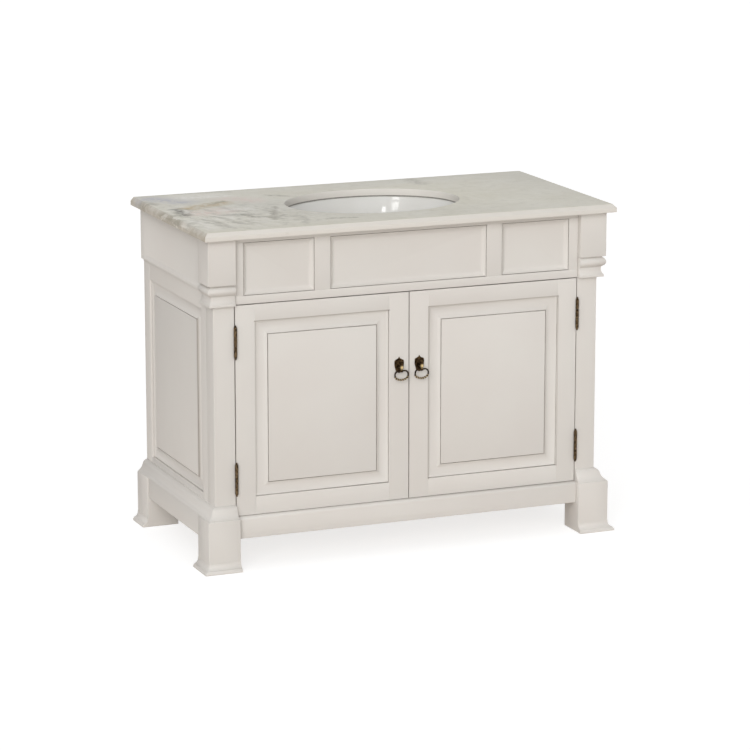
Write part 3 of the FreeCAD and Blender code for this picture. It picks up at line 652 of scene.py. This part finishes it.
# Painted shade: a line along the front edge of each raised side field.
for hand, way in zip(SIDES, (-1, 1)):
    low, high = proud_box(hand + "_side_panel", Vector((way, 0, 0)))
    side_shade_lines.append((low, Vector((low.x, low.y, high.z)), SIDE_SHADE_HALF, SIDE_SHADE))
paint_side_panel = cream_paint("cream_paint_side_panel", UPRIGHT, side_shade_lines)
print("side fields start at", [round(shade_line[0].y, 3) for shade_line in side_shade_lines])

# %% Posts, frames, blocks, feet and rails
# Each piece: its name, its paint, and how far its edges are eased in mm.
PIECES_OF_A_SIDE = (
    ("front_post", paint_upright, 0.9), ("rear_post", paint_upright, 0.9),
    ("corner_block", paint_upright, 1.4), ("front_foot", paint_upright, 1.4),
    ("rear_foot", paint_upright, 1.4), ("base_rail", paint_deep, 1.2),
    ("base_moulding", paint_deep, 0.6), ("side_frieze", paint_deep, 0.5),
    ("side_frame", paint_upright, 0.4), ("side_panel", paint_side_panel, 0.3),
    ("false_front", paint_level, 0.4))
SINGLE_PIECES = (
    ("centre_false_front", paint_level, 0.4), ("frieze_top_rail", paint_level, 0.4),
    ("frieze_bottom_rail", paint_level, 0.4), ("frieze_uprights", paint_upright, 0.4),
    ("capital_mouldings", paint_level, 0.5), ("side_frieze_coves", paint_deep, 0.4),
    ("foot_skirts", paint_level, 0.6), ("base_front_rail", paint_level, 1.4),
    ("base_back_rail", paint_level, 1.2))


def ease_all(pieces, before=""):
    """Eased copies of the pieces in a list, whose nodes' names may have something before them."""
    return [eased_copy(before + name, finish, ease * MM) for name, finish, ease in pieces]


joinery = []
for hand in SIDES:
    joinery += ease_all(PIECES_OF_A_SIDE, hand + "_")
joinery += ease_all(SINGLE_PIECES)
print(len(joinery), "painted pieces of the cabinet")

# %% [markdown]
# ## Inside and back
# The floor, the back boards and the braces were never painted. Their grain runs the long way of
# each board. The catches and clips are small, but they show as soon as a door is open, so they
# are eased like the rest.

# %% Hidden boards and small fittings
HIDDEN_PIECES = (
    ("cabinet_floor", wood_level, 0.8), ("back_top_rail", wood_level, 0.8),
    ("back_bottom_rail", wood_level, 0.8), ("back_boards", wood_upright, 0.6),
    ("corner_braces", wood_level, 0.8), ("door_catches", catch_plastic, 0.8),
    ("sink_clips", zinc, 0.4), ("left_door_strike", zinc, 0.25),
    ("right_door_strike", zinc, 0.25))
hidden = ease_all(HIDDEN_PIECES)
print(len(hidden), "hidden pieces")

# %% [markdown]
# ## The doors
# Each door is a frame of two stiles and two rails round a raised panel. The stiles run through
# and the rails sit between them, so their brush marks change direction at the joints, as they do
# on a real door. Lines of painted shade mark the top inner edge of both frames and the upright
# inner edges of the right one. They are strokes whose ends are read from the frames themselves.

# %% Painted shade along the inner edges of the door frames
TOWARD_ROOM = Vector((0, -1, 0))
LINE_HALF = 2.6 * MM
TOP_SHADE, LEFT_SHADE, RIGHT_SHADE = 0.6, 0.6, 0.4

# Each entry is a line of painted shade along an inner edge of a door frame.
frame_shade_lines = []
for hand in SIDES:
    hinge_low, hinge_high = proud_box(hand + "_door_hinge_stile", TOWARD_ROOM)
    meeting_low, meeting_high = proud_box(hand + "_door_meeting_stile", TOWARD_ROOM)
    if hand == "left":
        left_x, right_x = hinge_high.x, meeting_low.x
    else:
        left_x, right_x = meeting_high.x, hinge_low.x
    rails = [vertex.co for vertex in frame["nodes"][hand + "_door_rails"].data.vertices]
    levels = [point.z for point in rails if point.y < hinge_low.y + SAME_FACE]
    middle = (hinge_low.z + hinge_high.z) / 2
    upper = min(level for level in levels if level > middle)
    lower = max(level for level in levels if level < middle)
    low_left, top_left, top_right, low_right = (
        Vector((x, hinge_low.y, z))
        for x, z in ((left_x, lower), (left_x, upper), (right_x, upper), (right_x, lower)))
    frame_shade_lines.append((top_left, top_right, LINE_HALF, TOP_SHADE))
    if hand == "right":
        frame_shade_lines.append((low_left, top_left, LINE_HALF, LEFT_SHADE))
        frame_shade_lines.append((low_right, top_right, LINE_HALF, RIGHT_SHADE))
paint_door_upright = cream_paint("cream_paint_door_upright", UPRIGHT, frame_shade_lines)
paint_door_level = cream_paint("cream_paint_door_level", LEVEL, frame_shade_lines)
# Counts the lines of painted shade.
print(len(frame_shade_lines), "dirt lines, the first from", [round(part, 3) for part in frame_shade_lines[0][0]])

# %% Door frames and panels
PIECES_OF_A_DOOR = (
    ("hinge_stile", paint_door_upright, 0.2), ("meeting_stile", paint_door_upright, 0.2),
    ("rails", paint_door_level, 0.2), ("panel", paint_door_upright, 0.3))
doors = []
for hand in SIDES:
    doors += ease_all(PIECES_OF_A_DOOR, hand + "_door_")
print(len(doors), "door pieces")

# %% [markdown]
# ## The marble top
# The slab keeps its CAD shape. Its arrises are ground off by a millimetre, as a mason does so
# that they don't chip. One more step in the bevel than on the wood makes that edge look round.

# %% Marble slab
slab = eased_copy("countertop", marble, ease=0.9 * MM, segments=3)
print("slab", [round(size, 3) for size in slab.dimensions])

# %% [markdown]
# ## The basin
# A glossy bowl shows every flat facet, so it is built again as clean rings. Each ring is an oval;
# near the drain the ovals turn into circles, because the hole for the waste is round. The profile
# runs from the drain up the inside, over the rim, round the flange and back down the outside.

# %% Rings into a mesh
ROUND = 144


def mesh_from_rings(name, rings):
    """Joins rings of points, all with the same count, into a closed quad mesh, last to first."""
    count = len(rings[0])
    points = [point for ring in rings for point in ring]
    faces = []
    for here in range(len(rings)):
        this_ring, next_ring = here * count, (here + 1) % len(rings) * count
        for step in range(count):
            after = (step + 1) % count
            faces.append((this_ring + step, this_ring + after, next_ring + after, next_ring + step))
    mesh = bpy.data.meshes.new(name)
    mesh.from_pydata(points, [], faces)
    shape = bmesh.new()
    shape.from_mesh(mesh)
    bmesh.ops.recalc_face_normals(shape, faces=shape.faces)
    for face in shape.faces:
        face.smooth = True
    shape.to_mesh(mesh)
    shape.free()
    return put_in_scene(name, mesh)


def full_turn(count):
    """Angles of evenly spaced points round a circle."""
    return [2 * math.pi * step / count for step in range(count)]


print("an oval ring has", ROUND, "points")

# %% Sizes of the basin
FLANGE_WIDE = 25 * MM
FLANGE_THICK = 10 * MM
WALL = 8.4 * MM
FOOT = 8 * MM
DRAIN_HALF = 22.5 * MM
DRAIN_SLOPE = 40 * MM
SEAT_HALF = 60 * MM
SEAT_LIFT = 3 * MM
SLOPE_LIFT = 2 * MM
RIM_DROP = 2 * MM
EASE = 1 * MM
LIP = 0.8 * MM
DRAIN_LIP_FROM, DRAIN_LIP_TO, DRAIN_UNDER = 0.4 * MM, 1.3 * MM, 1.2 * MM
RIM_STEP, RIM_ROLL = 0.6 * MM, 2.2 * MM

low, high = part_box("sink_bowl")
flange_half = high.x
squeeze = high.y / high.x
flange_top = high.z
flange_under = flange_top - FLANGE_THICK
rim_half = flange_half - FLANGE_WIDE
bowl_bottom = low.z + FOOT
print("the basin's rim is", round(2 * rim_half / MM), "mm wide, squeezed to", round(squeeze, 3))

# %% Basin
CURVE_STEPS = 26


def hollow_curve(start, end, lowest):
    """Points of the round curve from a rim point down to the flat round the drain."""
    rise = start[1] - lowest
    run = start[0] - end
    radius = (run * run + rise * rise) / (2 * rise)
    first = math.asin((radius - rise) / radius)
    points = []
    for step in range(CURVE_STEPS + 1):
        angle = first + (math.pi / 2 - first) * step / CURVE_STEPS
        points.append((end + radius * math.cos(angle), lowest + radius - radius * math.sin(angle)))
    return points


seat = bowl_bottom + SEAT_LIFT
inside = hollow_curve((rim_half, flange_top - RIM_DROP), SEAT_HALF, seat)
outside = hollow_curve((rim_half + WALL, flange_under), SEAT_HALF, seat - WALL)
drain_edge = [
    (DRAIN_HALF, bowl_bottom - WALL + DRAIN_UNDER), (DRAIN_HALF, bowl_bottom + DRAIN_LIP_FROM),
    (DRAIN_HALF + LIP, bowl_bottom + DRAIN_LIP_TO), (DRAIN_SLOPE, bowl_bottom + SLOPE_LIFT)]
flange = [
    (rim_half + LIP, flange_top - RIM_STEP), (rim_half + RIM_ROLL, flange_top),
    (flange_half - EASE, flange_top), (flange_half, flange_top - EASE),
    (flange_half, flange_under + EASE), (flange_half - EASE, flange_under)]
underside = [(DRAIN_SLOPE, bowl_bottom - WALL + SLOPE_LIFT)]
rings = []
for half, level in drain_edge + inside[::-1] + flange + outside + underside:
    roundness = min(max((SEAT_HALF - half) / (SEAT_HALF - DRAIN_HALF), 0.0), 1.0)
    half_deep = half * (squeeze + (1 - squeeze) * roundness)
    rings.append([(half * math.cos(turn), half_deep * math.sin(turn), level)
                  for turn in full_turn(ROUND)])
basin = adopt(mesh_from_rings("sink_bowl_glazed", rings), "sink_bowl", glaze)
print("basin", [round(size, 3) for size in basin.dimensions], "with", len(basin.data.polygons), "faces")

# %% [markdown]
# ## The joint under the marble
# The basin is bedded in sealant, which shows as a thin grey line under the cut edge of the stone.
# A line painted on the glaze would lie flat, so this is a real bead: a small round profile swept
# along the oval, which catches its own shadow.

# %% Sealant
SEALANT = srgb(150, 148, 142)
SEALANT_SHADE = srgb(128, 126, 120)

sealant, tree, shader = new_finish("grey_sealant", IOR=1.42)
smears = noise(tree, own_place(tree), scale=90.0, detail=3.0)["Fac"]
colour = mix_colours(tree, smears, SEALANT, SEALANT_SHADE)
feed(tree, shader, Base_Color=colour, Roughness=vary(tree, smears, low=0.4, high=0.55))
print("sealant has", len(tree.nodes), "nodes")

# %% Bead of sealant
BEAD = 2.0 * MM
BEAD_SINK = 1.1 * MM
BEAD_POINTS = 10
UP = Vector((0, 0, 1))

cut_half = rim_half - RIM_DROP
rings = []
for turn in full_turn(ROUND):
    middle = Vector(
        (cut_half * math.cos(turn), cut_half * squeeze * math.sin(turn), flange_top + BEAD))
    inward = -Vector((middle.x * squeeze, middle.y / squeeze, 0)).normalized()
    middle -= inward * BEAD_SINK
    rings.append([middle + inward * (BEAD * math.cos(bend)) + UP * (BEAD * math.sin(bend))
                  for bend in full_turn(BEAD_POINTS)])
bead = mesh_from_rings("basin_sealant_bead", rings)
bead.data.materials.append(sealant)
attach(bead, body_of_node["sink_bowl"])
print("bead", [round(size, 3) for size in bead.dimensions])

# %% [markdown]
# ## Hinges
# The butt hinges show as slim barrels beside the doors. The CAD model already has every knuckle
# and pin, so there is no need to build them again. Their edges are only just broken, and the
# rubbed-edge effect brings the brass out on the knuckles and the turned finials.

# %% Hinge leaves and pins
HINGE_PIECES = (
    ("hinge_frame_leaves", hinge_brass, 0.3), ("hinge_pins", hinge_brass, 0.2),
    ("left_hinge_door_leaves", hinge_brass, 0.3), ("right_hinge_door_leaves", hinge_brass, 0.3))
hinges = ease_all(HINGE_PIECES)
print(len(hinges), "hinge pieces")

# %% [markdown]
# ## Plates of the pulls
# Each pull hangs on a shield-shaped plate with a round boss, and the eye of the ring sits under
# the boss. Fingers have worn the boss to bright brass. Edge rub wouldn't reach its round front,
# so a short stroke at its middle lets the brass through.


# %% Plates
def wear_through(finish, mask, bright):
    """Mixes a brighter metal into a finish where the mask is white."""
    tree = finish.node_tree
    socket = tree.nodes["Principled BSDF"].inputs["Base Color"]
    fill(tree, socket, mix_colours(tree, mask, socket.links[0].from_socket, bright))


BRASS = srgb(222, 196, 146)
BOSS_LEVEL = 509 * MM
BOSS_WEAR = 8 * MM

tree = bronze.node_tree
place = own_place(tree)
plates = []
for hand in SIDES:
    plates.append(eased_copy(hand + "_pull_plate", bronze, ease=0.45 * MM, segments=3))
    low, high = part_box(hand + "_pull_plate")
    boss = Vector(((low.x + high.x) / 2, low.y, BOSS_LEVEL))
    worn = place_group(tree, stroke, Place=place, From=boss, Along=UP * MM, Width=BOSS_WEAR)
    wear_through(bronze, worn["Mask"], BRASS)
print(len(plates), "plates")

# %% [markdown]
# ## Drop rings
# The ring is one bent wire: a bar that turns in the eye, two shoulders, two short legs and a bow.
# The bow is twisted like rope, with its crests rubbed bright. A bump could only fake that, so the
# wire is swept along its path as rings of points, and on the bow these rings turn and swell into
# two strands. How high each point stands on a strand is kept as an attribute for the finish.

# %% Sizes of the ring
WIRE = 2.1 * MM
BAR_HALF = 9 * MM
SHOULDER = 10 * MM
LEG = 2 * MM
RING_CORNER = 11 * MM
CORNER_SWEEP = math.radians(60)
print("the ring is", round(2 * (BAR_HALF + SHOULDER + WIRE) / MM, 1), "mm wide at its legs")

# %% Middle line of the ring's wire
PACE = 0.5 * MM
STRAIGHT_STEPS = 12


def arc_points(centre, radius, first, last):
    """Points of an arc in the ring's plane, without its first point, about one pace apart."""
    count = max(2, round(abs(last - first) * radius / PACE))
    turns = [first + (last - first) * step / count for step in range(1, count + 1)]
    return [(centre[0] + radius * math.cos(turn), centre[1] + radius * math.sin(turn))
            for turn in turns]


def half_ring():
    """The wire from the middle of the bar to the bottom of the bow, on the right."""
    leg_x = BAR_HALF + SHOULDER
    foot_z = -SHOULDER - LEG
    corner_x = leg_x - RING_CORNER
    bow = RING_CORNER + corner_x / math.cos(CORNER_SWEEP)
    bow_z = foot_z + corner_x * math.tan(CORNER_SWEEP)
    shares = [step / STRAIGHT_STEPS for step in range(STRAIGHT_STEPS + 1)]
    points = [(BAR_HALF * share, 0.0) for share in shares]
    points += arc_points((BAR_HALF, -SHOULDER), SHOULDER, math.pi / 2, 0.0)
    points += [(leg_x, -SHOULDER - LEG * share) for share in shares[1:]]
    points += arc_points((corner_x, foot_z), RING_CORNER, 0.0, -CORNER_SWEEP)
    points += arc_points((0.0, bow_z), bow, -CORNER_SWEEP, -math.pi / 2)
    return points


right_half = half_ring()
wire_line = right_half + [(-x, z) for x, z in right_half[-2:0:-1]]
print("the wire has", len(wire_line), "stations and hangs", round(-right_half[-1][1] / MM, 1), "mm")

# %% A ring with a twisted bow
ROPE_GAP = 1.5 * MM
ROPE_TOP = -SHOULDER - LEG - ROPE_GAP
ROPE_RUN_IN = 2.5 * MM
ROPE_SWELL = 1.3 * MM
ROPE_PITCH = 14 * MM
STRAND_SINK = 0.2
AROUND = 24
TOWARD_WALL = -TOWARD_ROOM


def twisted_ring(name, pivot):
    """The ring's mesh round its pivot, with the height of the strands in the attribute crest."""
    rings = []
    crests = []
    travelled = 0.0
    for number, (x, z) in enumerate(wire_line):
        before, after = wire_line[number - 1], wire_line[(number + 1) % len(wire_line)]
        along = Vector((after[0] - before[0], 0, after[1] - before[1]))
        travelled += along.length / 2
        outward = Vector((along.z, 0, -along.x)).normalized()
        swell = min(max((ROPE_TOP - z) / ROPE_RUN_IN, 0.0), 1.0)
        twist = 2 * math.pi * travelled / ROPE_PITCH
        centre = pivot + Vector((x, 0, z))
        ring = []
        for turn in full_turn(AROUND):
            strand = abs(math.cos(turn - twist))
            reach = WIRE + swell * ROPE_SWELL * (strand - STRAND_SINK)
            crests.append(strand * swell)
            ring.append(centre + outward * (reach * math.cos(turn))
                        + TOWARD_WALL * (reach * math.sin(turn)))
        rings.append(ring)
    piece = mesh_from_rings(name, rings)
    piece.data.attributes.new("crest", "FLOAT", "POINT").data.foreach_set("value", crests)
    return piece


print("the rope turns once in", round(ROPE_PITCH / MM), "mm")

# %% Rope bronze and the two rings
CREST_BRIGHT = srgb(198, 180, 150)
CREST_BEGINS, CREST_FULL = 0.72, 0.95

rope_bronze = metal_finish(
    "rope_bronze", OLD_BRONZE, lighter=srgb(66, 51, 35), rubbed=srgb(196, 174, 138),
    rough=(0.2, 0.34), rub_radius=0.6 * MM, rub_patches=0.6)
tree = rope_bronze.node_tree
crest = add_node(tree, "ShaderNodeAttribute", attribute_name="crest").outputs["Fac"]
wear_through(rope_bronze, spread(tree, crest, CREST_BEGINS, CREST_FULL), CREST_BRIGHT)
for hand in SIDES:
    low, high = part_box(hand + "_pull_ring")
    pivot = Vector(((low.x + high.x) / 2, (low.y + high.y) / 2, high.z - WIRE))
    ring = twisted_ring(hand + "_pull_ring_twisted", pivot)
    adopt(ring, hand + "_pull_ring", rope_bronze)
    print(ring.name, [round(size / MM, 1) for size in ring.dimensions], "mm")

# %% [markdown]
# ## Floor and light
# The photograph shows the unit on plain white, in soft light from the upper left. A white floor
# under bright lamps would wash the paint out. So the floor is pale and keeps the unit's own
# shadow, a glow that only straight looks and reflections see lifts it to white, and the light
# that it throws back on the unit is a little warm, as from a wooden floor. A wide sun, a soft
# lamp overhead and an even sky light the unit at a plain level.


# %% Floor
def seen_straight(tree):
    """White for rays from the camera, through glass or off a shiny surface."""
    rays = add_node(tree, "ShaderNodeLightPath").outputs
    straight = calc(tree, "MAXIMUM", rays["Is Camera Ray"], rays["Is Transmission Ray"])
    return calc(tree, "MAXIMUM", straight, rays["Is Glossy Ray"])


FLOOR_HALF = 60.0
WARM_BOUNCE = (0.69, 0.615, 0.55, 1)
SEEN_FLOOR = (0.45, 0.45, 0.45, 1)
WHITE = (1, 1, 1, 1)
GLOW = 0.74

floor_mesh = bpy.data.meshes.new("studio_floor")
corners = [(x * FLOOR_HALF, y * FLOOR_HALF, 0) for x, y in ((-1, -1), (1, -1), (1, 1), (-1, 1))]
floor_mesh.from_pydata(corners, [], [(0, 1, 2, 3)])
floor = put_in_scene("studio_floor", floor_mesh)
pale, tree, shader = new_finish(
    "pale_floor", Roughness=1.0, Specular_IOR_Level=0.0, Emission_Color=WHITE)
seen = seen_straight(tree)
feed(tree, shader, Base_Color=mix_colours(tree, seen, WARM_BOUNCE, SEEN_FLOOR))
feed(tree, shader, Emission_Strength=calc(tree, "MULTIPLY", seen, GLOW))
floor_mesh.materials.append(pale)
print("floor", 2 * FLOOR_HALF, "m wide")

# %% Sky
SKY_LEVEL = 0.37
SKY_COLOUR = (1.0, 0.995, 0.985, 1.0)

sky = bpy.data.worlds.new("even_sky")
scene.world = sky
sky.use_nodes = True
tree = sky.node_tree
tree.nodes.clear()
dome = add_node(tree, "ShaderNodeBackground", Color=SKY_COLOUR, Strength=SKY_LEVEL)
white = add_node(tree, "ShaderNodeBackground", Color=WHITE, Strength=1.0)
choose = add_node(tree, "ShaderNodeMixShader")
chosen = fill_in_order(tree, choose, seen_straight(tree), dome.outputs[0], white.outputs[0])
add_node(tree, "ShaderNodeOutputWorld", Surface=chosen[0])
print("sky", SKY_LEVEL)

# %% Sun and overhead lamp
# Each lamp: name, strength, how wide it is in degrees, and the way toward it.
LAMPS = (
    ("soft_sun", 2.06, 40, (-0.48, -0.84, 0.26)),
    ("soft_overhead", 0.5, 100, (-0.1, -0.3, 0.95)))


def shine_from(lamp, toward):
    """Turns a lamp so that its light comes from this way."""
    lamp.rotation_euler = Vector(toward).to_track_quat("Z", "Y").to_euler()


for name, strength, wide, toward in LAMPS:
    lamp_data = bpy.data.lights.new(name, "SUN")
    lamp_data.energy = strength
    lamp_data.angle = math.radians(wide)
    lamp = put_in_scene(name, lamp_data)
    shine_from(lamp, toward)
    lamp.visible_glossy = False
print("lamps", [lamp[:2] for lamp in LAMPS])

# %% [markdown]
# ## Two windows in the glaze
# The glaze mirrors two tall windows behind the onlooker, and so do the rubbed edges of the
# bronze. They are area lamps that only reflections can see, so no shade changes anywhere else.

# %% Windows
# Each window: the way toward it, its width and height in metres, and how bright it is.
WINDOWS = (
    ((-0.2532, -0.7921, 0.5555), 0.35, 0.9, 7.0),
    ((-0.4544, -0.7426, 0.492), 0.8, 1.3, 4.0))
WINDOW_AWAY = 6.0
MIRROR_SPOT = Vector((0.115, 0.155, 0.86))

for number, (toward, width, height, level) in enumerate(WINDOWS, 1):
    window_data = bpy.data.lights.new("window_" + str(number), "AREA")
    window_data.shape = "RECTANGLE"
    window_data.size = width
    window_data.size_y = height
    window_data.energy = level * math.pi * width * height
    window = put_in_scene(window_data.name, window_data)
    window.location = MIRROR_SPOT + WINDOW_AWAY * Vector(toward)
    shine_from(window, toward)
    window.visible_camera = False
    window.visible_diffuse = False
    window.visible_transmission = False
print(len(WINDOWS), "windows at", WINDOW_AWAY, "m")

# %% [markdown]
# ## Camera
# The photograph looks down on the unit from the front left through a long lens. The place, the
# two angles and the focal length, which is counted in pixels of the square picture, were fitted
# to the unit's front.

# %% Camera
IMAGE = 750
FOCAL_PIXELS = 3301.0
SENSOR = 36.0
CAMERA_PLACE = (-3.3642, -8.1899, 2.4426)
LOOK_DOWN, LOOK_RIGHT = 12.82, 22.38
FAR_ENOUGH = 200.0

camera_data = bpy.data.cameras.new("camera")
camera_data.sensor_width = SENSOR
camera_data.lens = FOCAL_PIXELS / IMAGE * SENSOR
camera_data.clip_end = FAR_ENOUGH
camera = put_in_scene("camera", camera_data)
camera.location = CAMERA_PLACE
camera.rotation_euler = (math.radians(90 - LOOK_DOWN), 0, math.radians(-LOOK_RIGHT))
scene.camera = camera
scene.view_settings.view_transform = "Standard"
print("camera lens", round(camera_data.lens, 1), "mm")
